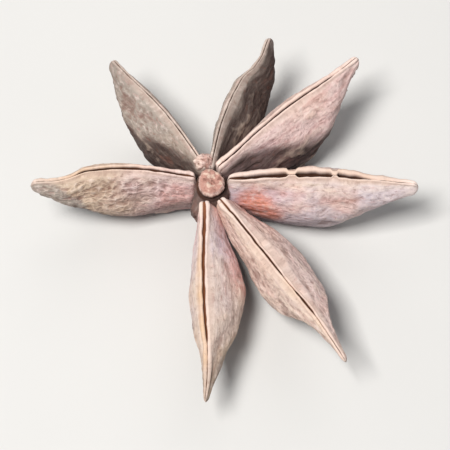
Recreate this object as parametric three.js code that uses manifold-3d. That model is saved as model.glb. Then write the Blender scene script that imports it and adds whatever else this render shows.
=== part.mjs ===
// Star anise pod: seven dried, boat-shaped seed cases (carpels) standing round a short woody
// column, like the spokes of a wheel. Each carpel has a narrow slit between two pale lips along
// its upper edge, swollen flanks, a sharp keel below and a pointed beak at its outer end. The
// eighth place, between the left and the lower carpel, holds only the torn stub of a lost one.
// The whole pod is one piece, so it is one closed solid.
// Millimetres, +Z up. The origin is the centre of the stalk scar, on the plane the pod rests on.

import * as THREE from "three";
import { mergeVertices } from "three/addons/utils/BufferGeometryUtils.js";
import Module from "manifold-3d";

// Column and stalk scar.
const COLUMN_TOP = 8.3; // height of the small rough disc in the middle of the star
const DISC_EDGE = 8; // height where the disc's side starts to round off
const DISC_RADIUS = 1.17;
const GROOVE_FLOOR = 7.3; // bottom of the crack that runs round the disc
const GROOVE_RADIUS = 1.38; // outer edge of that crack
const COLUMN_RADIUS = 1.8; // where the carpels grow out of it
const WAIST_RADIUS = 1.5; // just above the stalk
const SCAR_RADIUS = 1.25; // flat end of the broken stalk
const COLUMN_SIDES = 28;

// What all carpels share.
const BASE_RADIUS = 1.3; // inner end of every carpel, outside the crack round the disc
const LIP_HEIGHT = 8.0; // the slit's height at the inner end
const LIP_ARCH = 0.45; // how far the slit arches up in the middle
const LIP_SHARE = 0.28; // the widest lip, as a share of the carpel's width
const LIP_STEP = 0.18; // how far the lip stands above the flank beside it
const STEP_SHARE = 0.06; // the highest step, as a share of the depth
const SLIT_SHARE = 0.35; // the deepest slit, as a share of the depth
const LEAST_SLIT = 0.07; // width and depth of the seam where the lips meet
const BEAK_START = 2.2; // the higher, the nearer to the end the beak starts to rise or drop
const DENT_HEIGHT = 0.24; // how far the dried flanks swell out or sink in
const PIVOT_SHARE = 0.42; // share of the depth about which a carpel leans over
const BASE_LEAN = 0.6; // share of the lean that a carpel has at its inner end
const FULL_LEAN_AT = 0.35; // share of the length where it leans over fully
const DEEPEST = 0.48; // share of the length where the keel is lowest
const END_SPAN = [0.55, 0.85]; // where the outer end's own width sets in
const SHALLOW_SPAN = [0.5, 0.8]; // where a shallower outer end sets in
const BLUNT_FROM = 0.64; // where a beak starts to be thicker than the others
const KINK_SPANS = [[0.66, 0.78], [0.82, 1]]; // where a kink of the beak's root sets in and fades
const SLIT_SWELL = 0.7; // the lower, the more even the slit's opening
const SLIT_CLOSING = 0.14; // share of the slit over which it closes
const KEEL_CUT = 0.16; // the keels are this much too deep, and flat where they meet the resting plane
const RINGS = 23; // cross-sections along one carpel
const RING_CROWDING = 0.035; // how much closer they are near its two ends
const FLANK_STEPS = [0.1, 0.2, 0.33, 0.47, 0.62, 0.77, 0.9];

// The carpels, counterclockwise from the one that points right. turn, lean and slew are in degrees.
// belly moves the widest place outward, end and sides widen the outer end and the two flanks, and lean
// tips the slit counterclockwise round the star. shift, bow and slew move the inner end, the middle and
// the outer end sideways the same way, the last one the later the higher curl is, and kink moves the
// beak's root. shallow lifts the keel of the outer end, blunt makes the tip thicker, rise lifts or drops
// the beak, and hover keeps the keel off the resting plane. gape is the widest opening of the slit,
// cleft its depth there, start the share of the gape at the inner end, and slitEnd where it closes.
// Pairs are for the counterclockwise and the clockwise side.
const CARPELS = [
  {
    turn: 0, reach: 18.2, width: 4.6, belly: 0, end: 1, sides: [0.95, 1], lean: 11,
    shift: 0.2, bow: 0, slew: -0.5, curl: 3, kink: 0, shallow: 0.15, blunt: 0.11, rise: 0.1, hover: 0,
    gape: 0.55, cleft: 1.5, start: 0.35, slitEnd: 0.79, lips: [0.5, 0.22], seed: 11,
  },
  {
    turn: 42, reach: 17.6, width: 4.7, belly: 0, end: 1, sides: [0.97, 1], lean: 17,
    shift: 0.4, bow: -0.45, slew: 0, curl: 2, kink: 0, shallow: 0.1, blunt: 0.04, rise: 0.7, hover: 0.1,
    gape: 0.2, cleft: 0.7, start: 0.7, slitEnd: 0.88, lips: [0.38, 0.26], seed: 23,
  },
  {
    turn: 78, reach: 14.6, width: 3.9, belly: 0, end: 1, sides: [0.82, 1], lean: 14,
    shift: 0.05, bow: -0.3, slew: -9, curl: 2, kink: -0.4, shallow: 0, blunt: 0.05, rise: 0.5, hover: 0.5,
    gape: 0.08, cleft: 0.3, start: 0.5, slitEnd: 0.7, lips: [0.24, 0.24], seed: 37,
  },
  {
    turn: 128, reach: 14.7, width: 3.8, belly: 0, end: 1.35, sides: [1, 0.72], lean: -12,
    shift: -0.25, bow: 0.1, slew: -0.6, curl: 2, kink: 0, shallow: 0, blunt: 0.06, rise: 0.3, hover: 0,
    gape: 0.1, cleft: 0.3, start: 0.5, slitEnd: 0.75, lips: [0.22, 0.2], seed: 41,
  },
  {
    turn: 180, reach: 15.9, width: 3.9, belly: 0, end: 1, sides: [1, 0.95], lean: -8,
    shift: -0.45, bow: -0.6, slew: 0, curl: 2, kink: 0.35, shallow: 0, blunt: 0.1, rise: 0.1, hover: 0,
    gape: 0.25, cleft: 0.7, start: 0.7, slitEnd: 0.78, lips: [0.2, 0.3], seed: 59,
  },
  {
    turn: 273, reach: 19.0, width: 4.6, belly: -0.04, end: 0.72, sides: [1.13, 0.98], lean: -14,
    shift: -0.36, bow: 0, slew: -4.5, curl: 3, kink: 0, shallow: 0.2, blunt: 0, rise: -2.4, hover: 0.05,
    gape: 0.26, cleft: 0.5, start: 1, slitEnd: 0.76, lips: [0.34, 0.34], seed: 67,
  },
  {
    turn: 306, reach: 19.6, width: 4.6, belly: -0.05, end: 0.6, sides: [1.2, 0.96], lean: -9,
    shift: 0, bow: 0.5, slew: 0.4, curl: 2, kink: 0, shallow: 0.45, blunt: 0.05, rise: -1.2, hover: 0,
    gape: 0.15, cleft: 0.6, start: 1, slitEnd: 0.8, lips: [0.26, 0.26], seed: 83,
  },
];

// The torn stub of the lost carpel: its turn and half angle in degrees, how far it stands out of the
// column, and the heights between which it grows and fades.
const STUB = { turn: 226, halfAngle: 20, out: 0.5, grows: [1.7, 3], fades: [4.6, 6.2] };

// Between two carpels the disc reaches out to a small knob, and the crack is shallower there.
const KNOB_SIDE = { turn: 105, spread: 40, reachOut: 0.2, fill: 0.65 };
const KNOB = { centre: [-0.7, 2.15, 7.72], radii: [0.82, 0.72, 0.64], segments: 12 };

// Shapes along a carpel, as [share of its length, share of the full size].
const WIDTH_ALONG = [
  [0, 0.42], [0.12, 0.5], [0.3, 0.79], [0.48, 1], [0.66, 0.87], [0.8, 0.55], [0.92, 0.26], [1, 0.13],
];
const DEPTH_ALONG = [
  [0, 0.72], [0.2, 0.88], [DEEPEST, 1], [0.62, 0.88], [0.76, 0.56], [0.9, 0.24], [1, 0.08],
];
// Half thickness of a cross-section, from the lips down to the keel, as [share of depth, share of width].
const THICKNESS_DOWN = [
  [0, 0.3], [0.1, 0.52], [0.28, 0.84], [0.46, 1], [0.64, 0.88], [0.82, 0.56], [1, 0.05],
];

const DEGREE = Math.PI / 180;
const GEOMETRY_GAP = 1e-4; // vertices closer than this are one vertex

// A smooth line through the knots [[place, value], ...], flat at each turning point.
function along(knots, place) {
  const last = knots.length - 1;
  let k = 0;
  while (k < last - 1 && place > knots[k + 1][0]) k += 1;
  const slope = (i) => (knots[i + 1][1] - knots[i][1]) / (knots[i + 1][0] - knots[i][0]);
  const tangent = (i) => {
    if (i === 0) return slope(0);
    if (i === last) return slope(last - 1);
    const before = slope(i - 1);
    const after = slope(i);
    return before * after <= 0 ? 0 : (2 * before * after) / (before + after);
  };
  const span = knots[k + 1][0] - knots[k][0];
  const x = THREE.MathUtils.clamp((place - knots[k][0]) / span, 0, 1);
  const rest = 1 - x;
  return (
    knots[k][1] * rest * rest * (1 + 2 * x) +
    knots[k + 1][1] * x * x * (3 - 2 * x) +
    span * x * rest * (tangent(k) * rest - tangent(k + 1) * x)
  );
}

// Slow dents and swellings of a dried flank, from -1 to 1: three waves whose phases come from the seed.
function dents(s, t, side, seed) {
  const phase = seed * 1.7 + side * 2.3;
  return (
    0.5 * Math.sin(9.5 * s + 3.1 * t + phase) +
    0.3 * Math.sin(17 * s - 7.3 * t + 2.1 * phase) +
    0.2 * Math.sin(27 * s + 11 * t + 3.7 * phase)
  );
}

// The upper edge of a carpel at share s of its length: distance from the axis, sideways bend and height.
function upperEdge(carpel, s) {
  const out = BASE_RADIUS + (carpel.reach - BASE_RADIUS) * s;
  const slew = Math.tan(carpel.slew * DEGREE) * carpel.reach * s ** carpel.curl;
  const [grows, fades] = KINK_SPANS.map((span) => THREE.MathUtils.smoothstep(s, ...span));
  const kink = carpel.kink * (grows - fades);
  const bend = slew + carpel.shift * (1 - s) + carpel.bow * Math.sin(Math.PI * s) + kink;
  const height = LIP_HEIGHT + LIP_ARCH * Math.sin(Math.PI * s) + carpel.rise * s ** BEAK_START;
  return { out, bend, height };
}

// How deep a carpel is for its leaning keel to reach down to where it hovers.
function fullDepth(carpel) {
  const upright = PIVOT_SHARE + (1 - PIVOT_SHARE) * Math.cos(carpel.lean * DEGREE);
  return (upperEdge(carpel, DEEPEST).height + KEEL_CUT - carpel.hover) / upright;
}

// How thick a carpel's beak is there beyond the common shape, as a share of the full size.
function bluntness(carpel, s) {
  return carpel.blunt * THREE.MathUtils.smoothstep(s, BLUNT_FROM, 1);
}

function depthAt(carpel, s) {
  const lifted = 1 - carpel.shallow * THREE.MathUtils.smoothstep(s, ...SHALLOW_SPAN);
  return fullDepth(carpel) * (along(DEPTH_ALONG, s) * lifted + bluntness(carpel, s));
}

// Share of the full gape along the slit: a long swell that closes at the slit's end.
function opening(carpel, s) {
  const u = Math.min(1, s / carpel.slitEnd);
  const swell = carpel.start + (1 - carpel.start) * Math.max(0, Math.sin(Math.PI * u)) ** SLIT_SWELL;
  return swell * THREE.MathUtils.smoothstep(1 - u, 0, SLIT_CLOSING);
}

// One closed cross-section as [sideways, down] pairs: slit floor, one lip, flank, keel, and back up.
function crossSection(carpel, s) {
  const place = s - carpel.belly * Math.sin(Math.PI * s);
  const swollen = 1 + (carpel.end - 1) * THREE.MathUtils.smoothstep(s, ...END_SPAN);
  const width = carpel.width * (along(WIDTH_ALONG, place) * swollen + bluntness(carpel, s) / 2);
  const depth = depthAt(carpel, s);
  const open = opening(carpel, s);
  const gap = Math.max(LEAST_SLIT, carpel.gape * open);
  const floor = Math.max(LEAST_SLIT, Math.min(carpel.cleft * Math.sqrt(open), SLIT_SHARE * depth));
  const step = Math.min(LIP_STEP, STEP_SHARE * depth);
  const dent = DENT_HEIGHT * Math.sin(Math.PI * s);
  const half = (side) => {
    const which = side > 0 ? 0 : 1;
    const lip = Math.min(carpel.lips[which], LIP_SHARE * width);
    const flank = FLANK_STEPS.map((t) => {
      const swell = dent * dents(s, t, side, carpel.seed) * Math.sin(Math.PI * t);
      const thick = (width / 2) * along(THICKNESS_DOWN, t) * carpel.sides[which] + swell;
      return [Math.max(thick, gap / 2 + lip * 0.8 * (1 - t)), step + t * (depth - step)];
    });
    return [[gap / 2, step * 0.5], [gap / 2 + lip * 0.45, 0], [gap / 2 + lip * 0.95, step * 0.7], ...flank];
  };
  const left = half(1);
  const right = half(-1).map(([a, b]) => [-a, b]);
  return [[0, floor], ...left, [0, depth], ...right.reverse()];
}

// A cross-section set in place: leaned over, put on the upper edge, turned round the star.
function placedRing(carpel, s) {
  const edge = upperEdge(carpel, s);
  const share = BASE_LEAN + (1 - BASE_LEAN) * THREE.MathUtils.smoothstep(s, 0, FULL_LEAN_AT);
  const lean = carpel.lean * DEGREE * share;
  const pivot = PIVOT_SHARE * depthAt(carpel, s);
  const turn = carpel.turn * DEGREE;
  return crossSection(carpel, s).map(([sideways, down]) => {
    const drop = down - pivot;
    const across = sideways * Math.cos(lean) - drop * Math.sin(lean) + edge.bend;
    const height = edge.height - pivot - drop * Math.cos(lean) - sideways * Math.sin(lean);
    return new THREE.Vector3(
      edge.out * Math.cos(turn) - across * Math.sin(turn),
      edge.out * Math.sin(turn) + across * Math.cos(turn),
      Math.max(0, height),
    );
  });
}

// A closed skin over a row of rings with the same number of points, with a point at each end.
function skinOf(rings) {
  const count = rings[0].length;
  const points = rings.flat();
  const middle = (ring) => ring.reduce((sum, p) => sum.add(p), new THREE.Vector3()).divideScalar(count);
  const first = points.push(middle(rings[0])) - 1;
  const last = points.push(middle(rings[rings.length - 1])) - 1;
  const faces = [];
  for (let j = 0; j < count; j += 1) {
    const next = (j + 1) % count;
    faces.push(first, j, next);
    for (let i = 0; i < rings.length - 1; i += 1) {
      const a = i * count;
      const b = a + count;
      faces.push(a + j, b + j, b + next, a + j, b + next, a + next);
    }
    const end = (rings.length - 1) * count;
    faces.push(last, end + next, end + j);
  }
  const skin = new THREE.BufferGeometry();
  skin.setAttribute("position", new THREE.Float32BufferAttribute(points.flatMap((p) => p.toArray()), 3));
  skin.setIndex(faces);
  return skin;
}

function carpelSkin(carpel) {
  const rings = [];
  for (let i = 0; i < RINGS; i += 1) {
    const even = i / (RINGS - 1);
    rings.push(placedRing(carpel, even - RING_CROWDING * Math.sin(2 * Math.PI * even)));
  }
  return skinOf(rings);
}

// The column: stalk scar, waist, body, crack and rough disc, turned on the axis, then made uneven.
function columnSkin() {
  const profile = [
    [0, 0],
    [SCAR_RADIUS, 0],
    [SCAR_RADIUS + 0.1, 0.9],
    [WAIST_RADIUS, 1.6],
    [COLUMN_RADIUS, 2.6],
    [COLUMN_RADIUS, 4.6],
    [COLUMN_RADIUS - 0.15, 6.2],
    [GROOVE_RADIUS, GROOVE_FLOOR],
    [DISC_RADIUS - 0.05, GROOVE_FLOOR],
    [DISC_RADIUS, GROOVE_FLOOR + 0.3],
    [DISC_RADIUS - 0.02, DISC_EDGE],
    [DISC_RADIUS - 0.16, COLUMN_TOP - 0.08],
    [0.6, COLUMN_TOP],
    [0, COLUMN_TOP - 0.08],
  ].map(([r, z]) => new THREE.Vector2(r, z));
  const lathe = new THREE.LatheGeometry(profile, COLUMN_SIDES);
  lathe.rotateX(Math.PI / 2);
  const place = lathe.getAttribute("position");
  for (let i = 0; i < place.count; i += 1) {
    const x = place.getX(i);
    const y = place.getY(i);
    const z = place.getZ(i);
    const radius = Math.hypot(x, y);
    if (radius < GEOMETRY_GAP) continue;
    const angle = Math.atan2(y, x);
    const away = THREE.MathUtils.euclideanModulo(angle / DEGREE - STUB.turn + 180, 360) - 180;
    const low = THREE.MathUtils.smoothstep(z, ...STUB.grows);
    const high = THREE.MathUtils.smoothstep(z, ...STUB.fades);
    const stub = STUB.out * low * (1 - high) * Math.exp(-((away / STUB.halfAngle) ** 2));
    const nearKnob = Math.exp(-(((angle / DEGREE - KNOB_SIDE.turn) / KNOB_SIDE.spread) ** 2));
    const inner = 1 - THREE.MathUtils.smoothstep(radius, DISC_RADIUS, GROOVE_RADIUS);
    const lobes = 1 + 0.03 * Math.sin(3 * angle + 1.3) + KNOB_SIDE.reachOut * nearKnob * inner;
    const stretch = (lobes * radius + stub) / radius;
    const below = THREE.MathUtils.clamp((DISC_EDGE - z) / (DISC_EDGE - GROOVE_FLOOR), 0, 1);
    const crack = radius < GROOVE_RADIUS + GEOMETRY_GAP && z > GROOVE_FLOOR - GEOMETRY_GAP ? below : 0;
    const bump = z > COLUMN_TOP - 0.2 ? 0.05 * Math.sin(3 * angle + 2) : 0;
    place.setXYZ(i, x * stretch, y * stretch, z + KNOB_SIDE.fill * nearKnob * crack + bump);
  }
  return lathe;
}

function knobSkin() {
  const ball = new THREE.SphereGeometry(1, 2 * KNOB.segments, KNOB.segments);
  return ball.scale(...KNOB.radii).translate(...KNOB.centre);
}

// A geometry whose shared vertices are merged, as a solid that can be joined to others.
function solidOf(geometry, wasm) {
  const bare = geometry.clone();
  bare.deleteAttribute("normal");
  bare.deleteAttribute("uv");
  const merged = mergeVertices(bare, GEOMETRY_GAP);
  return new wasm.Manifold(
    new wasm.Mesh({
      numProp: 3,
      vertProperties: merged.getAttribute("position").array,
      triVerts: new Uint32Array(merged.index.array),
    }),
  );
}

function geometryOf(solid) {
  const mesh = solid.getMesh();
  const geometry = new THREE.BufferGeometry();
  geometry.setAttribute("position", new THREE.Float32BufferAttribute(mesh.vertProperties, 3));
  geometry.setIndex(Array.from(mesh.triVerts));
  geometry.computeVertexNormals();
  return geometry;
}

const wasm = await Module();
wasm.setup();
const skins = [columnSkin(), knobSkin(), ...CARPELS.map(carpelSkin)];
const whole = skins.map((skin) => solidOf(skin, wasm)).reduce((joined, next) => joined.add(next));

const husk = new THREE.MeshStandardMaterial({ color: 0x9c7f76, roughness: 0.82, metalness: 0 });
const pod = new THREE.Mesh(geometryOf(whole), husk);
pod.name = "pod";

const starAnise = new THREE.Group();
starAnise.add(pod);
export default starAnise;
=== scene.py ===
"""A dried star anise pod on a pale floor.

Seven boat-shaped carpels stand round a short woody column. Their skins are worked out with numpy, in
millimetres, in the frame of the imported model: +Z is up, and the origin is the centre of the stalk scar
on the resting plane. All skins are joined into one closed mesh, in metres.
"""

import math

import bpy
import numpy as np
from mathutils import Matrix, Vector


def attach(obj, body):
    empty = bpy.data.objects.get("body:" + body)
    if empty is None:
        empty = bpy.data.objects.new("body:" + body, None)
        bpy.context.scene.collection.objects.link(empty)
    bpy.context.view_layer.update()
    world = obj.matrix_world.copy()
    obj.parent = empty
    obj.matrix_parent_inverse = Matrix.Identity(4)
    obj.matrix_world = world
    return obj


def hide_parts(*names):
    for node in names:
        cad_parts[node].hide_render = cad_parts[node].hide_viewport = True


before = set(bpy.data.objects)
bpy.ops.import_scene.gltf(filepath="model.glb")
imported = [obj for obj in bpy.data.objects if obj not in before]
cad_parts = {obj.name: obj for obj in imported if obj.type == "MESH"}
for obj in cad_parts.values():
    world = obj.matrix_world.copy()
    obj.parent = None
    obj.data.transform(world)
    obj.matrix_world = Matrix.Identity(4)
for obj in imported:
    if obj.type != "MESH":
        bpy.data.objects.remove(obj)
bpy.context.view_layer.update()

MM = 0.001
DEGREE = math.pi / 180

# Column and stalk scar.
COLUMN_TOP = 8.3
DISC_EDGE = 8
DISC_RADIUS = 1.17
GROOVE_FLOOR = 7.3
GROOVE_RADIUS = 1.38
COLUMN_RADIUS = 1.8
WAIST_RADIUS = 1.5
SCAR_RADIUS = 1.25

# What all carpels share.
BASE_RADIUS = 1.3
LIP_HEIGHT = 8.0
LIP_ARCH = 0.45
LIP_SHARE = 0.28
LIP_STEP = 0.18
STEP_SHARE = 0.06
SLIT_SHARE = 0.35
LEAST_SLIT = 0.05
SEAM_DEPTH = 0.14
PIVOT_SHARE = 0.42
BASE_LEAN = 0.6
FULL_LEAN_AT = 0.35
DEEPEST = 0.48
KEEL_CUT = 0.16
BEAK_START = 2.2
DENT_HEIGHT = 0.24
END_SPAN = (0.55, 0.85)
SHALLOW_SPAN = (0.5, 0.8)
BLUNT_FROM = 0.64
KINK_SPANS = ((0.66, 0.78), (0.82, 1))
NEAR_COLUMN = 0.14

# Rounding of a carpel's two ends, as shares of its length, and the least size left there.
INNER_ROUND = 0.02
INNER_TAPER = 0.045
OUTER_ROUND = 0.03
LEAST_END = 0.12

# Where colours change, as shares of a carpel's length or of its depth.
DARK_BEAK_SPAN = (0.66, 0.96)
PALE_BEAK_SPAN = (0.88, 1)
KHAKI_SPAN = (0.2, 0.6)
KHAKI_BEAK_SPAN = (0.78, 1)
# The next three set the painted shade: over how much of the depth it fades in down a flank, and how dark it
# is painted along the keel, and from where.
PAINTED_SHADE_FADE = 0.15
KEEL_PAINTED_SHADE = 0.35
KEEL_PAINTED_SHADE_SPAN = (0.72, 1)
HEM_DEPTH = 0.8
HEM_WIDTH = 0.022
RUST_DEPTH = 0.44
RUST_LENGTH = 0.17
RUST_HEIGHT = 0.4

# Shapes along a carpel, as (share of its length, share of the full size), and down a section.
WIDTH_ALONG = (
    (0, 0.42), (0.12, 0.5), (0.3, 0.79), (0.48, 1), (0.66, 0.87), (0.8, 0.55), (0.92, 0.26), (1, 0.13),
)
DEPTH_ALONG = (
    (0, 0.72), (0.2, 0.88), (DEEPEST, 1), (0.62, 0.88), (0.76, 0.56), (0.9, 0.24), (1, 0.08),
)
THICKNESS_DOWN = (
    (0, 0.3), (0.1, 0.52), (0.28, 0.84), (0.46, 1), (0.64, 0.88), (0.82, 0.56), (1, 0.05),
)
LIP_ROUND = ((0, 0.35), (0.12, 0.8), (0.4, 1), (0.75, 0.72), (1, 0.05))

# The carpels, counterclockwise from the one that points right. turn, lean and slew are in degrees, and
# reach, width, shift, bow, rise, hover, gape, cleft and lips in millimetres. belly moves the widest
# place outward, end and sides widen the outer end and the two flanks, and lean tips the slit
# counterclockwise. shift, bow and slew move the inner end, the middle and the outer end sideways (curl
# tells how late the last sets in), and kink moves the beak's root. shallow lifts the keel of the outer
# end, blunt makes the tip thicker, rise lifts the beak, and hover keeps the keel off the resting plane.
# The gape has a share start at the inner end, closes at slit_end and at each tie (place, half width).
# bright and gold tell how pale and how yellow the lips are, lip_edge_shade how dark the painted shade in the
# groove along their outer edge, dark_brown_and_shade how dark the slit (partly its own dark brown, partly
# painted shade deep in it), tip how pale (or below zero dark) the beak, and hem where a pale line runs
# (from, to). rust is a reddish patch (place, strength) on the flank of rust_side. khaki, lilac and cream (in
# a band below the lips, then on each flank) tint the husk, and painted_shade is where the painted shade on
# the lower flank starts, how dark it is and how that start sinks outward. net is the depth of the pits, and
# fray how ragged the keel is. Pairs are for the counterclockwise and the clockwise side, and khaki's for the
# inner and outer end.
CARPELS = (
    dict(
        turn=0, reach=18.2, width=4.6, belly=0, end=1, sides=(0.95, 1), lean=11,
        shift=0.2, bow=0, slew=-0.5, curl=3, kink=0, shallow=0.15, blunt=0.11, rise=0.1, hover=0,
        gape=0.55, cleft=1.5, start=0.35, slit_end=0.79, ties=((0.343, 0.02), (0.565, 0.012)),
        lips=(0.5, 0.22), flare=-0.3, seed=11,
        bright=0.9, gold=(0.3, 0.2), lip_edge_shade=0.8, dark_brown_and_shade=0.75, tip=0.7, hem=(0.28, 0.72),
        rust=(0.16, 1.0), rust_side=-1,
        khaki=(0.0, 0.15), lilac=1.0, cream=(0.7, 0.1, 0.1), painted_shade=(0.45, 0.84, 0.45, 0), net=0.3, fray=0.1,
    ),
    dict(
        turn=42, reach=17.6, width=4.7, belly=0, end=1, sides=(0.97, 1), lean=17,
        shift=0.4, bow=-0.45, slew=0, curl=2, kink=0, shallow=0.1, blunt=0.04, rise=0.7, hover=0.1,
        gape=0.2, cleft=0.7, start=0.7, slit_end=0.88, ties=(),
        lips=(0.38, 0.26), flare=0.25, seed=23,
        bright=0.7, gold=(0.1, 0.1), lip_edge_shade=0.8, dark_brown_and_shade=0.75, tip=0.4, hem=(0, 0),
        rust=(0, 0), rust_side=-1,
        khaki=(0.0, 0.12), lilac=0.3, cream=(0.35, 0.2, 0), painted_shade=(0.35, -0.02, 1.0, 1.2), net=0.35, fray=0.3,
    ),
    dict(
        turn=78, reach=14.6, width=3.9, belly=0, end=1, sides=(0.82, 1), lean=14,
        shift=0.05, bow=-0.3, slew=-9, curl=2, kink=-0.4, shallow=0, blunt=0.05, rise=0.5, hover=0.5,
        gape=0.08, cleft=0.3, start=0.5, slit_end=0.7, ties=(),
        lips=(0.24, 0.24), flare=0.2, seed=37,
        bright=0.3, gold=(0, 0), lip_edge_shade=0.5, dark_brown_and_shade=0.8, tip=0.15, hem=(0, 0),
        rust=(0, 0), rust_side=-1,
        khaki=(0.97, 1.0), lilac=0.5, cream=(0.1, 0, 0), painted_shade=(0.6, -0.06, 1.0, 0), net=0.35, fray=0.08,
    ),
    dict(
        turn=128, reach=14.7, width=3.8, belly=0, end=1.35, sides=(1, 0.72), lean=-12,
        shift=-0.25, bow=0.1, slew=-0.6, curl=2, kink=0, shallow=0, blunt=0.06, rise=0.3, hover=0,
        gape=0.1, cleft=0.3, start=0.5, slit_end=0.75, ties=(),
        lips=(0.22, 0.2), flare=0, seed=41,
        bright=0.45, gold=(0.15, 0), lip_edge_shade=0.6, dark_brown_and_shade=0.7, tip=-0.25, hem=(0, 0),
        rust=(0, 0), rust_side=1,
        khaki=(0.94, 1.0), lilac=0.1, cream=(0, 0, 0), painted_shade=(0.04, 0.4, 1.0, 1.0), net=0.45, fray=0.08,
    ),
    dict(
        turn=180, reach=15.9, width=3.9, belly=0, end=1, sides=(1, 0.95), lean=-8,
        shift=-0.45, bow=-0.6, slew=0, curl=2, kink=0.35, shallow=0, blunt=0.1, rise=0.1, hover=0,
        gape=0.25, cleft=0.7, start=0.7, slit_end=0.78, ties=(),
        lips=(0.2, 0.3), flare=0.2, seed=59,
        bright=0.6, gold=(0.4, 0.6), lip_edge_shade=0.7, dark_brown_and_shade=0.65, tip=0.15, hem=(0.35, 1.0),
        rust=(0.12, 0.35), rust_side=1,
        khaki=(0.0, 0.84), lilac=0.35, cream=(0.45, 0, 0), painted_shade=(0.5, 0.45, 0.5, 0.3), net=0.85, fray=0.16,
    ),
    dict(
        turn=273, reach=19.0, width=4.6, belly=-0.04, end=0.72, sides=(1.13, 0.98), lean=-14,
        shift=-0.36, bow=0, slew=-4.5, curl=3, kink=0, shallow=0.2, blunt=0, rise=-2.4, hover=0.05,
        gape=0.26, cleft=0.5, start=1.0, slit_end=0.76, ties=(),
        lips=(0.34, 0.34), flare=0.3, seed=67,
        bright=0.75, gold=(0.1, 1.0), lip_edge_shade=0.3, dark_brown_and_shade=0.25, tip=-0.45, hem=(0, 0),
        rust=(0.36, 0.4), rust_side=1,
        khaki=(0.0, 0.58), lilac=0.9, cream=(0.5, 0, 0.35), painted_shade=(0.6, 0.3, 0.5, 0.2), net=0.2, fray=0.08,
    ),
    dict(
        turn=306, reach=19.6, width=4.6, belly=-0.05, end=0.6, sides=(1.2, 0.96), lean=-9,
        shift=0, bow=0.5, slew=0.4, curl=2, kink=0, shallow=0.45, blunt=0.05, rise=-1.2, hover=0,
        gape=0.15, cleft=0.6, start=1.0, slit_end=0.8, ties=((0.552, 0.045),),
        lips=(0.26, 0.26), flare=0.6, seed=83,
        bright=0.65, gold=(0.2, 0.4), lip_edge_shade=0.2, dark_brown_and_shade=0.45, tip=0.1, hem=(0, 0),
        rust=(0.1, 0.1), rust_side=1,
        khaki=(0.35, 0.3), lilac=0.5, cream=(0.3, 0, 0.7), painted_shade=(0.45, 0.6, 0.6, 0), net=0.5, fray=0.08,
    ),
)
STUB = dict(turn=226, half_angle=20, out=0.5, grows=(1.7, 3), fades=(4.6, 6.2))

# Between two carpels the disc reaches out to a small knob, and the crack is shallower there.
KNOB_SIDE = dict(turn=105, spread=40, reach_out=0.2, fill=0.65)
KNOB = dict(centre=(-0.7, 2.15, 7.72), radii=(0.84, 0.74, 0.66), seed=7)

# How finely the skins are divided.
RINGS = 124
WALL_STEPS = 4
LIP_STEPS = 6
FLANK_STEPS = 36
COLUMN_RINGS = 90
COLUMN_SIDES = 120
KNOB_RINGS = 26
KNOB_SIDES = 36
POLE_GAP = 0.12
SMOOTH_BELOW = 55 * DEGREE

# Heights of the wrinkles in millimetres.
FOLD_HEIGHT = 0.09
RIDGE_HEIGHT = 0.06
PIT_DEPTH = 0.11
LIP_ROUGHNESS = 0.03
RELIEF_UNIT = 0.12

# The camera looks down on the pod as in the photograph: from the front, 71 degrees up.
ELEVATION = 71 * DEGREE
DISTANCE = 0.222
AIM = (1.2 * MM, -2.6 * MM, 4.4 * MM)
LENS = 200
SENSOR_WIDTH = 36

# Half the side of the floor, and the soft lights: place and size in metres, watts and colour.
FLOOR_HALF = 1.5
LIGHTS = (
    dict(name="overhead softbox", place=(-0.12, -0.05, 0.4), size=0.13, watts=2.0, colour=(1, 0.985, 0.96)),
    dict(name="back softbox", place=(0.1, 0.3, 0.3), size=0.3, watts=0.35, colour=(1, 0.98, 0.95)),
)
SKY_COLOUR = (0.9, 0.94, 1, 1)
SKY_STRENGTH = 0.2

MASKS = (
    "lip", "lip_edge_shade", "slit", "dark_brown_and_shade", "khaki", "lilac", "cream", "gold", "painted_shade", "pale_and_highlight", "net", "relief",
    "rust", "disc",
)


def smooth_line(knots, place):
    """Hermite cubics through (place, value) knots, flat at turning points, else harmonic mean slopes."""
    x, y = np.array(knots, float).T
    slope = np.diff(y) / np.diff(x)
    before = slope[:-1]
    after = slope[1:]
    same = before * after > 0
    inner = np.where(same, 2 * before * after / np.where(same, before + after, 1), 0)
    tangent = np.concatenate([slope[:1], inner, slope[-1:]])
    k = np.clip(np.searchsorted(x, place, side="right") - 1, 0, len(x) - 2)
    span = x[k + 1] - x[k]
    u = np.clip((place - x[k]) / span, 0, 1)
    v = 1 - u
    bend = span * u * v * (tangent[k] * v - tangent[k + 1] * u)
    return y[k] * v * v * (1 + 2 * u) + y[k + 1] * u * u * (3 - 2 * u) + bend


def step_up(value, low, high):
    """0 below low, 1 above high, and 3u^2 - 2u^3 between them."""
    u = np.clip((value - low) / (high - low), 0, 1)
    return u * u * (3 - 2 * u)


def lattice(ix, iy, iz, seed):
    """A fixed number from 0 to 1 for each whole-number point, by mixing the bits of its coordinates."""
    mixed = (ix * 374761393 + iy * 668265263 + iz * 1442695041 + seed * 974634777) & 0xFFFFFFFF
    mixed = ((mixed ^ (mixed >> 13)) * 1274126177) & 0xFFFFFFFF
    return ((mixed ^ (mixed >> 16)) & 0xFFFF) / 65535


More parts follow.
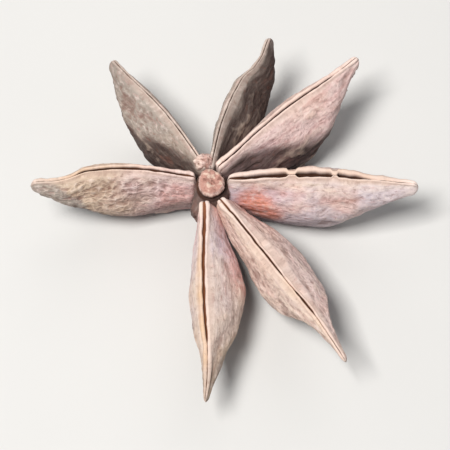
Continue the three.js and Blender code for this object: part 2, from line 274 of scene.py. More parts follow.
def cloud(x, y, z, seed, octaves=1):
    """Fractal value noise, about -1 to 1: smoothly blended lattice numbers, each octave half as strong."""
    x, y, z = np.broadcast_arrays(x, y, z)
    total = np.zeros(x.shape)
    for octave in range(octaves):
        scale = 2.03**octave
        place = [axis * scale + 17.3 * octave for axis in (x, y, z)]
        cell = [np.floor(axis).astype(np.int64) for axis in place]
        share = [step_up(axis - low, 0, 1) for axis, low in zip(place, cell)]
        value = np.zeros(x.shape)
        for corner in range(8):
            pick = [corner >> bit & 1 for bit in range(3)]
            weight = np.ones(x.shape)
            for up, part in zip(pick, share):
                weight = weight * (part if up else 1 - part)
            value = value + weight * lattice(*[low + up for low, up in zip(cell, pick)], seed)
        total = total + (2 * value - 1) / 2**octave
    return total


def nearest_seed(x, y, seed):
    """Distance to the nearest of points strewn one to each unit square."""
    x, y = np.broadcast_arrays(x, y)
    cell_x = np.floor(x).astype(np.int64)
    cell_y = np.floor(y).astype(np.int64)
    best = np.full(x.shape, 9.0)
    for i in (-1, 0, 1):
        for j in (-1, 0, 1):
            point_x = cell_x + i + lattice(cell_x + i, cell_y + j, 0, seed)
            point_y = cell_y + j + lattice(cell_x + i, cell_y + j, 1, seed)
            best = np.minimum(best, np.hypot(x - point_x, y - point_y))
    return best


def outward(grid):
    """Unit normals of a grid of rings: the cross product of its two central differences."""
    along = np.gradient(grid, axis=0)
    around = np.roll(grid, -1, axis=1) - np.roll(grid, 1, axis=1)
    normal = np.cross(along, around)
    return normal / np.maximum(np.linalg.norm(normal, axis=2, keepdims=True), 1e-9)


def all_masks(like, given):
    """Every mask as an array of one shape, zero where it isn't given."""
    return {name: given.get(name, 0) + np.zeros(like.shape) for name in MASKS}


def dents(s, t, side, seed):
    """Slow swellings of a dried flank, -1 to 1: three waves whose phases come from the seed."""
    phase = seed * 1.7 + side * 2.3
    return (
        0.5 * np.sin(9.5 * s + 3.1 * t + phase)
        + 0.3 * np.sin(17 * s - 7.3 * t + 2.1 * phase)
        + 0.2 * np.sin(27 * s + 11 * t + 3.7 * phase)
    )


def edge_height(carpel, s):
    """Height of the slit at share s of the length: a low arch, and a beak that rises or drops."""
    return LIP_HEIGHT + LIP_ARCH * np.sin(np.pi * s) + carpel["rise"] * s**BEAK_START


def full_depth(carpel):
    """How deep a carpel is for its leaning keel to reach the resting plane."""
    upright = PIVOT_SHARE + (1 - PIVOT_SHARE) * math.cos(carpel["lean"] * DEGREE)
    return (edge_height(carpel, DEEPEST) + KEEL_CUT - carpel["hover"]) / upright


def opening(carpel, s):
    """Share of the full gape along the slit: a long swell that closes at slit_end and at each tie."""
    u = np.clip(s / carpel["slit_end"], 0, 1)
    swell = carpel["start"] + (1 - carpel["start"]) * np.sin(np.pi * u) ** 0.7
    swell = swell * step_up(1 - u, 0, 0.14)
    for place, half in carpel["ties"]:
        swell = swell * step_up(np.abs(s - place), half * 0.8, half * 1.5)
    return swell


def half_section(carpel, s, side):
    """One half of every section, from the slit's floor to the keel, as sideways and down in millimetres.

    The wall of the slit is a quarter of an oval, the lip a rounded bead, and the flank a swollen side
    whose half thickness follows THICKNESS_DOWN. Also gives the share of the depth, and masks.
    """
    seed = carpel["seed"]
    run = s * (carpel["reach"] - BASE_RADIUS)
    place = s - carpel["belly"] * np.sin(np.pi * s)
    swollen = 1 + (carpel["end"] - 1) * step_up(s, *END_SPAN)
    blunt = carpel["blunt"] * step_up(s, BLUNT_FROM, 1)
    width = carpel["width"] * (smooth_line(WIDTH_ALONG, place) * swollen + blunt / 2)
    lifted = 1 - carpel["shallow"] * step_up(s, *SHALLOW_SPAN)
    depth = full_depth(carpel) * (smooth_line(DEPTH_ALONG, s) * lifted + blunt)
    spread = opening(carpel, s)
    ragged = 1 + 0.3 * cloud(run * 1.3, side, 0.5, seed, 2)
    gap = np.maximum(LEAST_SLIT, carpel["gape"] * spread * ragged)
    hollow = carpel["cleft"] * np.sqrt(spread) * (0.2 + 0.8 * step_up(s, 0.03, NEAR_COLUMN))
    floor = np.maximum(SEAM_DEPTH, np.minimum(hollow, SLIT_SHARE * depth))
    uneven = 1 + 0.25 * cloud(run * 0.8, side, 7.5, seed, 3)
    flare = 1 + carpel["flare"] * (1 - step_up(s, 0, NEAR_COLUMN))
    lip = np.minimum(carpel["lips"][0 if side > 0 else 1], LIP_SHARE * width) * uneven * flare
    step = np.minimum(LIP_STEP, STEP_SHARE * depth)
    edge = step * (1 - smooth_line(LIP_ROUND, 0.0))

    q = np.linspace(0, 1, WALL_STEPS + 1)[None, 1:]
    wall_across = gap / 2 * np.sin(np.pi / 2 * np.minimum(1, 1.6 * q))
    wall_down = floor - (floor - edge) * q**1.4

    r = np.linspace(0, 1, LIP_STEPS + 1)[None, 1:]
    lip_across = gap / 2 + lip * r
    lip_down = step * (1 - smooth_line(LIP_ROUND, r))

    t = 0.985 * np.linspace(0, 1, FLANK_STEPS + 1)[None, 1:] ** 1.2
    swell = DENT_HEIGHT * np.sin(np.pi * s) * dents(s, t, side, seed) * np.sin(np.pi * t)
    thick = width / 2 * smooth_line(THICKNESS_DOWN, t) * carpel["sides"][0 if side > 0 else 1] + swell
    rim = gap / 2 + lip * (1.03 - 0.25 * t)
    flank_across = np.maximum(thick, rim)
    flank_down = step + t * (depth - step)

    wall = np.ones_like(s) + 0 * q
    bead = np.ones_like(s) + 0 * r
    flank = np.ones_like(s) + 0 * t
    edge_of_flank = (1 - step_up(t, 0, 0.02)) * flank
    return dict(
        across=np.concatenate([wall_across, lip_across, flank_across], axis=1),
        down=np.concatenate([wall_down, lip_down, flank_down], axis=1),
        share=np.concatenate([0 * wall, 0 * bead, t * flank], axis=1),
        lip=np.concatenate([step_up(q, 0.75, 1) * wall, bead, edge_of_flank], axis=1),
        lip_edge_shade=np.concatenate([0 * wall, step_up(r, 0.6, 1) * bead, edge_of_flank], axis=1),
        slit=np.concatenate([(1 - step_up(q, 0.72, 1)) * wall, 0 * bead, 0 * flank], axis=1),
        floor=floor,
        depth=depth,
    )


def rust_patch(carpel, s, share, side, warp):
    """Where the husk's reddish inner tissue shows: a soft oval low on a flank's inner end."""
    place, strength = carpel["rust"]
    far = np.hypot((s - place) / RUST_LENGTH, (share - RUST_DEPTH) / RUST_HEIGHT)
    return strength * (1 - step_up(far + 0.25 * warp, 0.4, 1.15)) * (side == carpel["rust_side"])


def carpel_skin(carpel):
    """Grid of a carpel's skin with its masks: sections leaned over, turned round the star and wrinkled."""
    even = np.linspace(0, 1, RINGS)[:, None]
    s = even - 0.035 * np.sin(2 * np.pi * even)
    seed = carpel["seed"]
    length = carpel["reach"] - BASE_RADIUS

    left = half_section(carpel, s, 1)
    right = half_section(carpel, s, -1)
    floor = np.minimum(left["floor"], right["floor"])
    depth = left["depth"]

    def closed(key, at_slit, at_keel, flip=1):
        """The two halves of a section as one ring that starts at the slit's floor."""
        return np.concatenate([at_slit, left[key], at_keel, flip * right[key][:, ::-1]], axis=1)

    none = np.zeros_like(s)
    sideways = closed("across", none, none, -1)
    down = closed("down", floor, depth)
    share = closed("share", none, none + 1)
    lip = closed("lip", none, none)
    half = left["across"].shape[1]
    side = np.concatenate([[0], np.ones(half), [0], -np.ones(half)])[None, :]

    # Round off both ends.
    inner = np.sqrt(1 - (1 - np.clip(s / INNER_ROUND, 0, 1)) ** 2)
    taper = np.sqrt(1 - (1 - np.clip(s / INNER_TAPER, 0, 1)) ** 2)
    outer = np.sqrt(1 - (1 - np.clip((1 - s) / OUTER_ROUND, 0, 1)) ** 2)
    middle = 0.45 * depth
    sideways = sideways * np.maximum(LEAST_END, taper * outer)
    down = middle + (down - middle) * np.maximum(LEAST_END, inner * outer)

    out = BASE_RADIUS + length * s
    bend = math.tan(carpel["slew"] * DEGREE) * carpel["reach"] * s ** carpel["curl"]
    bend = bend + carpel["shift"] * (1 - s) + carpel["bow"] * np.sin(np.pi * s)
    bend = bend + carpel["kink"] * (step_up(s, *KINK_SPANS[0]) - step_up(s, *KINK_SPANS[1]))
    lean = carpel["lean"] * DEGREE * (BASE_LEAN + (1 - BASE_LEAN) * step_up(s, 0, FULL_LEAN_AT))
    pivot = PIVOT_SHARE * depth
    drop = down - pivot
    across = sideways * np.cos(lean) - drop * np.sin(lean) + bend
    height = edge_height(carpel, s) - pivot - drop * np.cos(lean) - sideways * np.sin(lean)
    turn = carpel["turn"] * DEGREE
    x = out * math.cos(turn) - across * math.sin(turn)
    y = out * math.sin(turn) + across * math.cos(turn)
    grid = np.stack([x, y, height], axis=2)

    # Wrinkles that run along the carpel, a net of shallow pits between them, and a frayed keel.
    run = s * length
    girth = side * (0.6 + share * depth)
    warp = cloud(run * 0.5, girth * 0.6, 3.1, seed, 2)
    folds = cloud(run * 0.32 + 0.5 * warp, girth * 0.95 + 0.7 * warp, 0, seed + 1, 3)
    ridges = 1 - 2 * np.abs(cloud(run * 0.7 + warp, girth * 1.9 + warp, 5, seed + 2, 2))
    seeds = nearest_seed(run * 1.2 + 0.5 * warp, girth * 1.7 + 0.4 * warp, seed + 3)
    pits = 1 - step_up(seeds, 0.1, 0.5)
    ends = np.sin(np.pi * np.clip(s, 0.03, 0.985)) ** 0.4
    flank = step_up(share, 0, 0.12) * (1 - 0.5 * step_up(share, 0.86, 1)) * ends
    relief = flank * (FOLD_HEIGHT * folds + RIDGE_HEIGHT * ridges - carpel["net"] * PIT_DEPTH * pits)
    relief = relief + lip * LIP_ROUGHNESS * cloud(run * 1.9, side, 2.2, seed + 4, 2)
    fray = step_up(share, 0.88, 1) * cloud(run * 2.2, side * 0.2, 8.1, seed + 5, 3)
    relief = relief + carpel["fray"] * fray * step_up(s, 0.05, 0.2)
    grid = grid + outward(grid) * relief[..., None]
    grid[..., 2] = np.maximum(grid[..., 2], 0)

    # Where each tint of the husk lies, where shade is painted on the lower flanks and along the keel, and
    # where the beak is darker.
    band, left_cream, right_cream = carpel["cream"]
    whole = np.where(side > 0, left_cream, right_cream)
    # Painted shade on the lower part of each flank, from a line that sinks outward, and along the keel; the
    # darker beak goes into the same mask.
    left_painted_shade, right_painted_shade, dark, tilt = carpel["painted_shade"]
    painted_shade_from = np.where(side > 0, left_painted_shade, right_painted_shade) + tilt * s**2 + 0.06 * warp
    painted_shade = dark * step_up(share, painted_shade_from, painted_shade_from + PAINTED_SHADE_FADE)
    painted_shade = np.maximum(painted_shade, KEEL_PAINTED_SHADE * step_up(share, *KEEL_PAINTED_SHADE_SPAN))
    dark_beak = max(0, -carpel["tip"]) * step_up(s + 0.05 * warp, *DARK_BEAK_SPAN)
    painted_shade = np.maximum(painted_shade, dark_beak)
    inner_khaki, outer_khaki = carpel["khaki"]
    khaki = inner_khaki + (outer_khaki - inner_khaki) * step_up(s + 0.12 * warp, *KHAKI_SPAN)
    khaki = khaki + 0.5 * outer_khaki * step_up(s + 0.4 * share + 0.06 * warp, *KHAKI_BEAK_SPAN)
    hem_from, hem_to = carpel["hem"]
    hem = np.exp(-(((share - HEM_DEPTH) / HEM_WIDTH) ** 2)) * step_up(s, hem_from, hem_from + 0.1)
    hem = hem * (1 - step_up(s, hem_to - 0.1, hem_to)) * (hem_to > 0)
    knob = lip * (1 - step_up(s, 0.01, 0.06))
    glow = step_up(s, 0.1, 0.35) * (1 - 0.7 * step_up(s, 0.78, 0.95))
    gold = np.where(side > 0, *carpel["gold"]) * glow * (0.8 + 0.4 * cloud(run * 0.9, 0, 4, seed + 6, 2))
    pale_beak = carpel["tip"] * step_up(s, *PALE_BEAK_SPAN)
    masks = all_masks(share, dict(
        lip=lip * carpel["bright"] * (1 - dark_beak),
        # Painted shade in the groove along the lips' outer edge.
        lip_edge_shade=closed("lip_edge_shade", none, none) * step_up(s, 0.02, 0.1) * carpel["lip_edge_shade"],
        slit=closed("slit", none + 1, none),
        # How dark the slit is painted: partly its own dark brown, partly painted shade deep in it.
        dark_brown_and_shade=carpel["dark_brown_and_shade"],
        khaki=khaki,
        lilac=carpel["lilac"],
        cream=whole + band * (1 - step_up(share, 0.03, 0.2)),
        gold=gold,
        painted_shade=painted_shade,
        pale_and_highlight=np.maximum(0.35 * knob, np.maximum(0.8 * hem, pale_beak)),
        net=carpel["net"] * flank,
        relief=relief / RELIEF_UNIT,
        rust=rust_patch(carpel, s, share, side, warp),
    ))
    flow = np.stack([run + 0 * girth, girth, seed + 0 * girth], axis=2)
    return grid, masks, flow


def column_skin():
    """Grid of the column: a turned profile stretched into lobes, with the crack, the disc and the stub."""
    corners = np.array([
        (0.02, 0),
        (SCAR_RADIUS, 0),
        (SCAR_RADIUS + 0.1, 0.9),
        (WAIST_RADIUS, 1.6),
        (COLUMN_RADIUS, 2.6),
        (COLUMN_RADIUS, 4.6),
        (COLUMN_RADIUS - 0.15, 6.2),
        (GROOVE_RADIUS, GROOVE_FLOOR),
        (DISC_RADIUS - 0.05, GROOVE_FLOOR),
        (DISC_RADIUS, GROOVE_FLOOR + 0.3),
        (DISC_RADIUS - 0.02, DISC_EDGE),
        (DISC_RADIUS - 0.16, COLUMN_TOP - 0.08),
        (0.6, COLUMN_TOP),
        (0.02, COLUMN_TOP - 0.08),
    ])
    run = np.concatenate([[0], np.cumsum(np.hypot(*np.diff(corners, axis=0).T))])
    even = np.linspace(0, run[-1], COLUMN_RINGS)
    radius = np.interp(even, run, corners[:, 0])[:, None]
    height = np.interp(even, run, corners[:, 1])[:, None]
    groove = (step_up(even, run[6], run[7]) * (1 - step_up(even, run[9], run[10])))[:, None]
    crack = groove * step_up(even, run[7] - 0.25, run[7])[:, None]
    top = step_up(even, run[10], run[11])[:, None]

    angle = np.linspace(0, 2 * np.pi, COLUMN_SIDES, endpoint=False)[None, :]
    away = (angle / DEGREE - STUB["turn"] + 180) % 360 - 180
    low = step_up(height, *STUB["grows"])
    high = step_up(height, *STUB["fades"])
    torn = low * (1 - high) * np.exp(-((away / STUB["half_angle"]) ** 2))
    fibres = cloud(np.cos(angle) * 6, np.sin(angle) * 6, height * 0.5, 3, 3)
    slow = cloud(np.cos(angle) * 2, np.sin(angle) * 2, height * 0.4, 9, 2)
    near_knob = np.exp(-(((angle / DEGREE - KNOB_SIDE["turn"]) / KNOB_SIDE["spread"]) ** 2))
    inside = 1 - step_up(radius, DISC_RADIUS, GROOVE_RADIUS)
    lobes = 1 + 0.03 * np.sin(3 * angle + 1.3) + 0.03 * slow + KNOB_SIDE["reach_out"] * near_knob * inside
    wide = radius * lobes + torn * (STUB["out"] + 0.25 * fibres)
    wide = wide + step_up(radius, 0.3, 1) * (1 - groove) * (1 - top) * 0.07 * fibres
    x = wide * np.cos(angle)
    y = wide * np.sin(angle)
    bump = cloud(x * 1.9, y * 1.9, 1.5, 5, 4)
    below = np.clip((DISC_EDGE - height) / (DISC_EDGE - GROOVE_FLOOR), 0, 1) * groove
    rise = top * (0.16 * bump + 0.05 * np.sin(3 * angle + 2)) + KNOB_SIDE["fill"] * near_knob * below
    z = height + rise
    grid = np.stack([x, y, np.maximum(z, 0)], axis=2)
    masks = all_masks(z, dict(
        slit=crack * (1 - 0.6 * near_knob),
        # The crack round the disc is painted dark: partly its own brown, partly painted shade in the groove,
        # a little darker on the front right.
        dark_brown_and_shade=0.92 + 0.08 * np.cos(angle + 0.9),
        khaki=0.3,
        # Painted shade on the column below the disc, under the carpels.
        painted_shade=0.9 * step_up(COLUMN_TOP - height, 0.4, 1.1) * (1 - top),
        # A painted highlight on the front right of the disc's rim.
        pale_and_highlight=0.35 * top * step_up(radius, 0.9, 1.05) * step_up(np.cos(angle + 0.7), 0, 0.8),
        net=0.2,
        relief=np.where(top > 0, bump, fibres),
        rust=0.3 * torn,
        disc=top,
    ))
    flow = np.stack([height + 0 * z, angle * 2 + 0 * z, 97 + 0 * z], axis=2)
    return grid, masks, flow


def knob_skin():
    """Grid of the small knob: an ellipsoid whose radius is made uneven by noise."""
    polar = np.linspace(POLE_GAP, np.pi - POLE_GAP, KNOB_RINGS)[:, None]
    angle = np.linspace(0, 2 * np.pi, KNOB_SIDES, endpoint=False)[None, :]
    upright = np.cos(polar) + 0 * angle
    unit = np.stack([np.sin(polar) * np.cos(angle), np.sin(polar) * np.sin(angle), upright], axis=2)
    rough = cloud(unit[..., 0] * 2.2, unit[..., 1] * 2.2, unit[..., 2] * 2.2, KNOB["seed"], 3)
    grid = np.array(KNOB["centre"]) + unit * np.array(KNOB["radii"]) * (1 + 0.18 * rough[..., None])
    masks = all_masks(rough, dict(
        # Dark brown in the knob's hollows: partly its own spots, partly painted shade.
        slit=0.7 * step_up(-rough, 0.3, 0.7),
        dark_brown_and_shade=0.4,
        khaki=0.15,
        cream=0.1 + 0.7 * step_up(-unit[..., 0], 0, 0.6),
        pale_and_highlight=0.25 * step_up(rough, 0, 0.6),
        net=0.6,
        relief=rough,
        disc=0.6 * step_up(unit[..., 0], -0.3, 0.3),
    ))
    return grid, masks, np.stack([unit[..., 0] * 2, unit[..., 1] * 2, 0 * rough + KNOB["seed"]], axis=2)


def closed_mesh(name, skin):
    """A mesh from a grid of rings: quads between the rings, and a fan to a middle point at each end."""
    grid, masks, flow = skin
    rings, count = grid.shape[:2]
    points = np.concatenate([grid.reshape(-1, 3), grid[:1].mean(axis=1), grid[-1:].mean(axis=1)])
    first = rings * count
    index = np.arange(first).reshape(rings, count)
    ahead = np.roll(index, -1, axis=1)
    quads = np.stack([index[:-1], index[1:], ahead[1:], ahead[:-1]], axis=2).reshape(-1, 4)
    start = np.stack([np.full(count, first), index[0], ahead[0]], axis=1)
    end = np.stack([np.full(count, first + 1), ahead[-1], index[-1]], axis=1)
    a, b, c = (points[quads[:, k]] for k in (0, 1, 2))
    if np.einsum("ij,ij->i", a, np.cross(b, c)).sum() < 0:
        quads = quads[:, ::-1]
        start = start[:, ::-1]
        end = end[:, ::-1]
    mesh = bpy.data.meshes.new(name)
    mesh.from_pydata(points * MM, [], quads.tolist() + start.tolist() + end.tolist())
    for key, value in masks.items():
        full = np.concatenate([value.ravel(), value[0].mean(keepdims=True), value[-1].mean(keepdims=True)])
        layer = mesh.attributes.new(key, "FLOAT", "POINT")
        layer.data.foreach_set("value", full.astype(np.float32))
    full = np.concatenate([flow.reshape(-1, 3), flow[:1].mean(axis=1), flow[-1:].mean(axis=1)])
    layer = mesh.attributes.new("flow", "FLOAT_VECTOR", "POINT")
    layer.data.foreach_set("vector", full.astype(np.float32).ravel())
    piece = bpy.data.objects.new(name, mesh)
    bpy.context.scene.collection.objects.link(piece)
    return piece


def fuse(base, others):
    """One Boolean union of base with all others, applied, and the others removed."""
    group = bpy.data.collections.new("to join")
    bpy.context.scene.collection.children.link(group)
    for other in others:
        bpy.context.scene.collection.objects.unlink(other)
        group.objects.link(other)
    union = base.modifiers.new("join", "BOOLEAN")
    union.operation = "UNION"
    union.operand_type = "COLLECTION"
    union.collection = group
    union.solver = "MANIFOLD"
    solved = base.evaluated_get(bpy.context.evaluated_depsgraph_get())
    mesh = bpy.data.meshes.new_from_object(solved)
    base.modifiers.clear()
    base.data = mesh
    for other in others:
        bpy.data.objects.remove(other)
    bpy.data.collections.remove(group)


def srgb(red, green, blue):
    """Linear colour of an sRGB colour given from 0 to 255."""
    parts = np.array([red, green, blue]) / 255
    linear = np.where(parts <= 0.04045, parts / 12.92, ((parts + 0.055) / 1.055) ** 2.4)
    return (*linear.tolist(), 1)


class Finish:
    """A material's node tree, built by short calls that each add one node."""

    def __init__(self, name):
        self.material = bpy.data.materials.new(name)
        self.material.use_nodes = True
        self.tree = self.material.node_tree
        self.shader = self.tree.nodes["Principled BSDF"]

    def node(self, kind, **settings):
        """A new node with its settings made."""
        made = self.tree.nodes.new(kind)
        for key, value in settings.items():
            setattr(made, key, value)
        return made

    def put(self, socket, value):
        """Links a socket to another, or sets its number or colour."""
        if isinstance(value, bpy.types.NodeSocket):
            self.tree.links.new(value, socket)
        else:
            socket.default_value = value

    def mask(self, name):
        """One of the numbers stored at each point of the mesh."""
        return self.node("ShaderNodeAttribute", attribute_name=name).outputs["Fac"]

    def place(self):
        """Position on the object, in metres."""
        return self.node("ShaderNodeTexCoord").outputs["Object"]

    def flow(self):
        """Position along and round a carpel, stored at each point of the mesh."""
        return self.node("ShaderNodeAttribute", attribute_name="flow").outputs["Vector"]

    def stretched(self, vector, scale):
        """The vector with each part multiplied by its own scale."""
        made = self.node("ShaderNodeMapping")
        self.put(made.inputs["Vector"], vector)
        made.inputs["Scale"].default_value = scale
        return made.outputs["Vector"]

    def warped(self, vector, scale, amount):
        """The vector pushed about by noise, by half the amount at most."""
        noise = self.node("ShaderNodeTexNoise")
        self.put(noise.inputs["Vector"], vector)
        noise.inputs["Scale"].default_value = scale
        centred = self.node("ShaderNodeVectorMath", operation="SUBTRACT")
        self.put(centred.inputs[0], noise.outputs["Color"])
        centred.inputs[1].default_value = (0.5, 0.5, 0.5)
        push = self.node("ShaderNodeVectorMath", operation="MULTIPLY_ADD")
        self.put(push.inputs[0], centred.outputs["Vector"])
        push.inputs[1].default_value = (amount, amount, 0)
        self.put(push.inputs[2], vector)
        return push.outputs["Vector"]

    def noise(self, vector, scale, detail=4, rough=0.6):
        """Fractal noise, mostly between 0.3 and 0.7."""
        made = self.node("ShaderNodeTexNoise")
        self.put(made.inputs["Vector"], vector)
        made.inputs["Scale"].default_value = scale
        made.inputs["Detail"].default_value = detail
        made.inputs["Roughness"].default_value = rough
        return made.outputs["Fac"]

    def cells(self, vector, scale):
        """Distance to the nearest border between cells."""
        made = self.node("ShaderNodeTexVoronoi", feature="DISTANCE_TO_EDGE")
        self.put(made.inputs["Vector"], vector)
        made.inputs["Scale"].default_value = scale
        return made.outputs["Distance"]

    def span(self, value, low, high, to_low=0.0, to_high=1.0):
        """Maps low..high smoothly to to_low..to_high, clamped."""
        made = self.node("ShaderNodeMapRange", interpolation_type="SMOOTHSTEP")
        self.put(made.inputs["Value"], value)
        made.inputs["From Min"].default_value = low
        made.inputs["From Max"].default_value = high
        made.inputs["To Min"].default_value = to_low
        made.inputs["To Max"].default_value = to_high
        return made.outputs["Result"]

    def maths(self, operation, first, second):
        """One sum of two numbers or sockets."""
        made = self.node("ShaderNodeMath", operation=operation)
        self.put(made.inputs[0], first)
        self.put(made.inputs[1], second)
        return made.outputs[0]

    def times(self, first, second):
        """The product of two numbers or sockets."""
        return self.maths("MULTIPLY", first, second)

    def blend(self, below, above, amount):
        """The colour below where the amount is 0, and the one above where it is 1."""
        made = self.node("ShaderNodeMix", data_type="RGBA")
        self.put(made.inputs[0], amount)
        self.put(made.inputs[6], below)
        self.put(made.inputs[7], above)
        return made.outputs[2]


PINK = srgb(238, 204, 198)
ROSE = srgb(206, 154, 148)
LILAC = srgb(212, 200, 212)
KHAKI = srgb(210, 184, 156)
GREY = srgb(168, 156, 146)
CREAM = srgb(240, 218, 198)
PALE = srgb(248, 230, 222)
LIP_PALE = srgb(228, 204, 192)
LIP_GOLD = srgb(216, 178, 140)
BROWN = srgb(122, 82, 70)
DARK_BROWN = srgb(54, 34, 28)
SLIT_BROWN = srgb(146, 90, 56)
RUST = srgb(232, 150, 126)
# Colour of the painted shade on the lower flanks, the keel and the column.
PAINTED_SHADE_BROWN = srgb(66, 50, 46)
DISC = srgb(188, 141, 128)


def husk_finish():
    """Dry wrinkled husk: pink to khaki flanks, streaked and pitted, pale lips, brown slits, and painted
    shade and highlight.
    """
    f = Finish("dry husk")
    place = f.place()
    flow = f.flow()
    warped = f.warped(flow, 0.9, 0.6)
    streaks = f.noise(f.stretched(warped, (0.3, 1.5, 1)), 1.0, 5, 0.62)
    creases = f.noise(f.stretched(warped, (0.9, 3.6, 1)), 1.0, 4, 0.6)
    mottle = f.noise(f.stretched(flow, (1.9, 2.4, 1)), 1.0, 3, 0.55)
    patches = f.noise(place, 260, 4, 0.6)
    blotches = f.noise(place, 210, 3, 0.5)
    dapple = f.noise(place, 1900, 3, 0.55)
    specks = f.noise(place, 2600, 4, 0.65)
    net = f.cells(f.stretched(warped, (1.7, 2.6, 1)), 1.0)

    # Tints of the flanks.
    colour = f.blend(PINK, ROSE, f.span(streaks, 0.42, 0.7))
    lilac = f.times(f.mask("lilac"), f.span(blotches, 0.26, 0.52))
    colour = f.blend(colour, LILAC, lilac)
    khaki = f.times(f.mask("khaki"), f.span(patches, 0.2, 0.5, 0.75, 1.1))
    colour = f.blend(colour, f.blend(KHAKI, GREY, f.span(f.mask("khaki"), 0.82, 0.98, 0.1, 1.0)), khaki)
    colour = f.blend(colour, CREAM, f.times(f.mask("cream"), f.span(streaks, 0.3, 0.6, 1, 0.4)))
    colour = f.blend(colour, ROSE, f.span(creases, 0.54, 0.68, 0, 0.35))
    colour = f.blend(colour, RUST, f.times(f.mask("rust"), f.span(mottle, 0.35, 0.65, 1, 0.65)))

    # Mottling, pits and wrinkles.
    colour = f.blend(colour, BROWN, f.span(mottle, 0.47, 0.3, 0, 0.4))
    colour = f.blend(colour, PALE, f.span(mottle, 0.53, 0.68, 0, 0.4))
    # Browner in the pits of the net and creamier on its ridges: partly the husk's own grain, partly painted
    # shade in the pits and painted highlight on the ridges.
    colour = f.blend(colour, BROWN, f.times(f.mask("net"), f.span(net, 0.12, 0.34, 0, 0.6)))
    colour = f.blend(colour, CREAM, f.times(f.mask("net"), f.span(net, 0.07, 0.0, 0, 0.35)))
    # Painted shade on the lower flanks, along the keel and on the column below the disc; also the darker
    # beaks.
    colour = f.blend(colour, PAINTED_SHADE_BROWN, f.times(f.mask("painted_shade"), f.span(streaks, 0.35, 0.65, 1, 0.8)))
    # Painted shade in the low creases of the wrinkles and a painted highlight on their crests.
    colour = f.blend(colour, BROWN, f.span(f.mask("relief"), -0.15, -0.8, 0, 0.45))
    colour = f.blend(colour, CREAM, f.span(f.mask("relief"), 0.35, 1.1, 0, 0.3))
    colour = f.blend(colour, BROWN, f.span(specks, 0.57, 0.72, 0, 0.45))

    # The disc and the knob.
    disc = f.blend(DISC, CREAM, f.span(dapple, 0.52, 0.64, 0, 0.6))
    disc = f.blend(disc, BROWN, f.span(dapple, 0.46, 0.34, 0, 0.75))
    colour = f.blend(colour, disc, f.mask("disc"))

    # Lips and slits.
    lips = f.blend(LIP_PALE, LIP_GOLD, f.mask("gold"))
    colour = f.blend(colour, lips, f.times(f.mask("lip"), f.span(specks, 0.48, 0.7, 1, 0.6)))
    # Pale knob ends, hems and beaks, and the painted highlight on the disc's rim.
    colour = f.blend(colour, PALE, f.times(f.mask("pale_and_highlight"), f.span(mottle, 0.3, 0.55, 0.5, 1)))
    # Painted shade in the groove along the lips' outer edge.
    colour = f.blend(colour, BROWN, f.times(f.mask("lip_edge_shade"), f.span(creases, 0.3, 0.6, 0.1, 0.5)))
    # Slits brown, darkened partly as their own dark brown and partly as painted shade deep in them.
    colour = f.blend(colour, f.blend(SLIT_BROWN, DARK_BROWN, f.mask("dark_brown_and_shade")), f.mask("slit"))
    f.put(f.shader.inputs["Base Color"], colour)

    f.put(f.shader.inputs["Roughness"], f.span(specks, 0.3, 0.7, 0.7, 0.9))
    f.shader.inputs["Specular IOR Level"].default_value = 0.35

    grit = f.noise(place, 4200, 4, 0.7)
    height = f.maths("ADD", f.times(grit, 0.3), f.times(creases, 1.1))
    height = f.maths("ADD", height, f.times(mottle, 0.9))
    ridges = f.times(f.mask("net"), f.span(net, 0.25, 0.0, 0, 0.6))
    bump = f.node("ShaderNodeBump")
    bump.inputs["Strength"].default_value = 0.8
    bump.inputs["Distance"].default_value = 0.1 * MM
    f.put(bump.inputs["Height"], f.maths("ADD", height, ridges))
    f.put(f.shader.inputs["Normal"], bump.outputs["Normal"])
    return f.material


def floor_finish():
    """Plain pale matt paper, with the faintest mottling."""
    f = Finish("pale floor")
    tone = f.noise(f.place(), 40, 3)
    f.put(f.shader.inputs["Base Color"], f.blend(srgb(214, 213, 211), srgb(209, 208, 206), tone))
    f.shader.inputs["Roughness"].default_value = 0.9
    return f.material


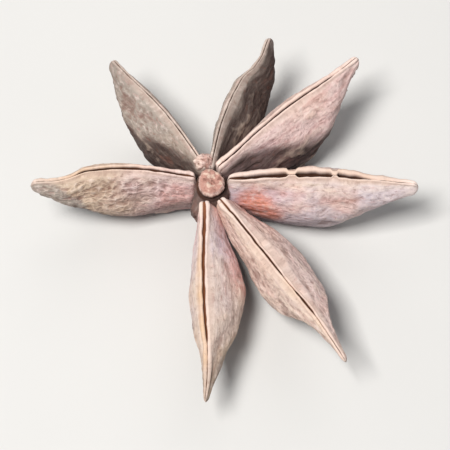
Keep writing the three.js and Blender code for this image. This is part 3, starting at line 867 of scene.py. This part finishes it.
def make_pod():
    """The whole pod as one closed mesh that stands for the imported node."""
    pod = closed_mesh("star_anise_pod", column_skin())
    others = [closed_mesh("carpel", carpel_skin(carpel)) for carpel in CARPELS]
    others.append(closed_mesh("knob", knob_skin()))
    fuse(pod, others)
    pod.data.shade_smooth()
    pod.data.set_sharp_from_angle(angle=SMOOTH_BELOW)
    pod.data.materials.clear()
    pod.data.materials.append(husk_finish())
    return pod


def make_floor():
    """A flat square in the resting plane."""
    half = FLOOR_HALF
    corners = [(-half, -half, 0), (half, -half, 0), (half, half, 0), (-half, half, 0)]
    mesh = bpy.data.meshes.new("floor")
    mesh.from_pydata(corners, [], [(0, 1, 2, 3)])
    mesh.materials.append(floor_finish())
    floor = bpy.data.objects.new("floor", mesh)
    bpy.context.scene.collection.objects.link(floor)
    return floor


def facing(direction):
    """The turn that points an object's -Z along a direction, with its top side up."""
    return Vector(direction.tolist()).to_track_quat("-Z", "Y").to_euler()


def make_light(name, place, size, watts, colour):
    """A square soft light, aimed at the origin."""
    lamp = bpy.data.lights.new(name, "AREA")
    lamp.size = size
    lamp.energy = watts
    lamp.color = colour
    holder = bpy.data.objects.new(name, lamp)
    holder.location = place
    holder.rotation_euler = facing(-np.array(place))
    bpy.context.scene.collection.objects.link(holder)


def make_camera():
    """A long lens that looks at the pod's middle from the photograph's height."""
    data = bpy.data.cameras.new("camera")
    data.lens = LENS
    data.sensor_width = SENSOR_WIDTH
    data.clip_start = 0.001
    data.clip_end = 20
    camera = bpy.data.objects.new("camera", data)
    back = np.array([0, -math.cos(ELEVATION), math.sin(ELEVATION)]) * DISTANCE
    camera.location = (np.array(AIM) + back).tolist()
    camera.rotation_euler = facing(-back)
    bpy.context.scene.collection.objects.link(camera)
    bpy.context.scene.camera = camera


def make_studio():
    """A broad soft light overhead and a little to the left, a weaker one behind, and a dim even sky."""
    for light in LIGHTS:
        make_light(**light)
    world = bpy.data.worlds.new("studio")
    bpy.context.scene.world = world
    world.use_nodes = True
    sky = world.node_tree.nodes["Background"]
    sky.inputs["Color"].default_value = SKY_COLOUR
    sky.inputs["Strength"].default_value = SKY_STRENGTH
    bpy.context.scene.view_settings.view_transform = "Standard"


pod = make_pod()
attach(pod, "root")
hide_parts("pod")
floor = make_floor()
make_camera()
make_studio()
